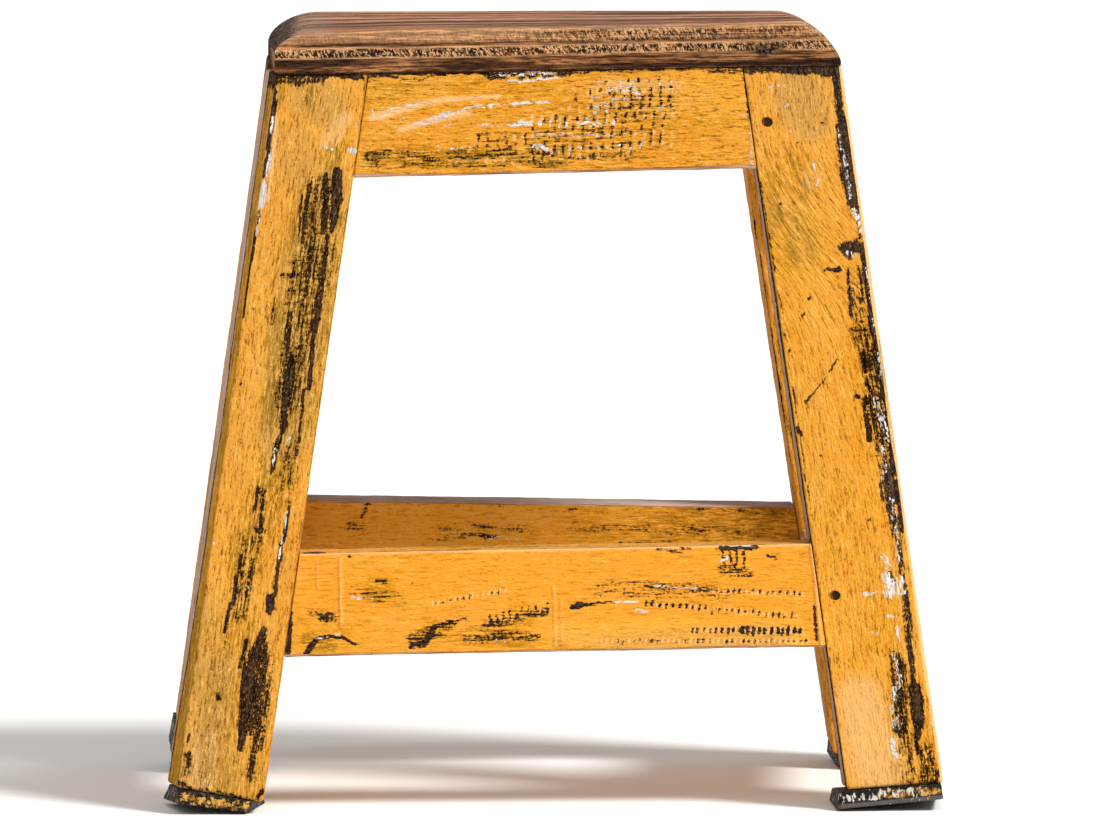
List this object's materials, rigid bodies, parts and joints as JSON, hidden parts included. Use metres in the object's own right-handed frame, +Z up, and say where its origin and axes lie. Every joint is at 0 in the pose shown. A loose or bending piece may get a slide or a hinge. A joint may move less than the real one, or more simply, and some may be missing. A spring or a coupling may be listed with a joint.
{
  "type": "footstool",
  "caption": "Low rectangular wooden stool with a plank seat on splayed square legs joined by an apron frame and a low stretcher frame; for sitting on, or as a footrest or step.",
  "frame": {"origin": "centre of the footprint, on the floor", "axes": "+Z up, front towards -Y, long side of the seat along X"},
  "size_m": [0.4347, 0.2444, 0.43],
  "materials": {
    "stained_wood": "stained brown, open grain, rough-sawn front edge",
    "painted_wood": "distressed yellow paint over white and dark undercoats, rubbed to bare wood on the edges",
    "foot_pad": "dull black with paint smears",
    "joint_pin": "dark end grain, partly painted over",
    "dowel_wood": "bare",
    "nail_steel": "dull"
  },
  "bodies": {
    "root": {"seat_plank": "stained_wood", "leg_front_left": "painted_wood", "leg_front_right": "painted_wood", "leg_rear_left": "painted_wood", "leg_rear_right": "painted_wood", "apron_front": "painted_wood", "apron_rear": "painted_wood", "apron_left": "painted_wood", "apron_right": "painted_wood", "stretcher_front": "painted_wood", "stretcher_rear": "painted_wood", "stretcher_left": "painted_wood", "stretcher_right": "painted_wood", "foot_pad_front_left": "foot_pad", "foot_pad_front_right": "foot_pad", "foot_pad_rear_left": "foot_pad", "foot_pad_rear_right": "foot_pad", "pin_apron_front_left": "joint_pin", "pin_apron_front_right": "joint_pin", "pin_apron_rear_left": "joint_pin", "pin_apron_rear_right": "joint_pin", "pin_apron_left_front": "joint_pin", "pin_apron_left_rear": "joint_pin", "pin_apron_right_front": "joint_pin", "pin_apron_right_rear": "joint_pin", "pin_stretcher_front_left": "joint_pin", "pin_stretcher_front_right": "joint_pin", "pin_stretcher_rear_left": "joint_pin", "pin_stretcher_rear_right": "joint_pin", "pin_stretcher_left_front": "joint_pin", "pin_stretcher_left_rear": "joint_pin", "pin_stretcher_right_front": "joint_pin", "pin_stretcher_right_rear": "joint_pin", "dowel_seat_front_left": "dowel_wood", "dowel_seat_front_right": "dowel_wood", "dowel_seat_rear_left": "dowel_wood", "dowel_seat_rear_right": "dowel_wood", "nail_pad_front_left": "nail_steel", "nail_pad_front_right": "nail_steel", "nail_pad_rear_left": "nail_steel", "nail_pad_rear_right": "nail_steel"}
  },
  "joints": []
}
